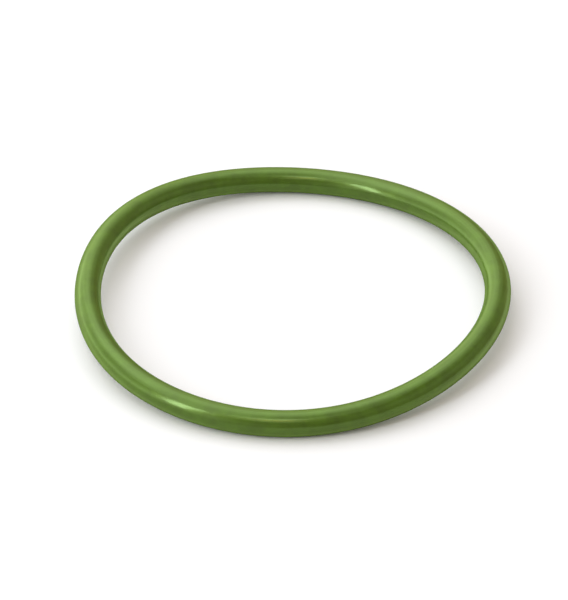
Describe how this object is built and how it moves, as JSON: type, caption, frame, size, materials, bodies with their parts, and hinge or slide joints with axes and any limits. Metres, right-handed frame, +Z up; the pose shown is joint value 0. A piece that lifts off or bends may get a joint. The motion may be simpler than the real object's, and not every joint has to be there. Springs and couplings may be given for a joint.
{
  "type": "o-ring",
  "caption": "Moulded rubber sealing ring with a round cord, shown lying free in a slight saddle bow, with small contact flats on its two low sides.",
  "frame": {"origin": "middle of the ring, on the surface that it lies on", "axes": "+Z up, along the ring's axis; the high sides of the bow are at +X and -X, the low sides that rest on the surface near +Y and -Y"},
  "size_m": [0.0498, 0.0498, 0.005],
  "materials": {
    "green_rubber": "satin, as moulded"
  },
  "bodies": {
    "root": {"o_ring": "green_rubber"}
  },
  "joints": []
}
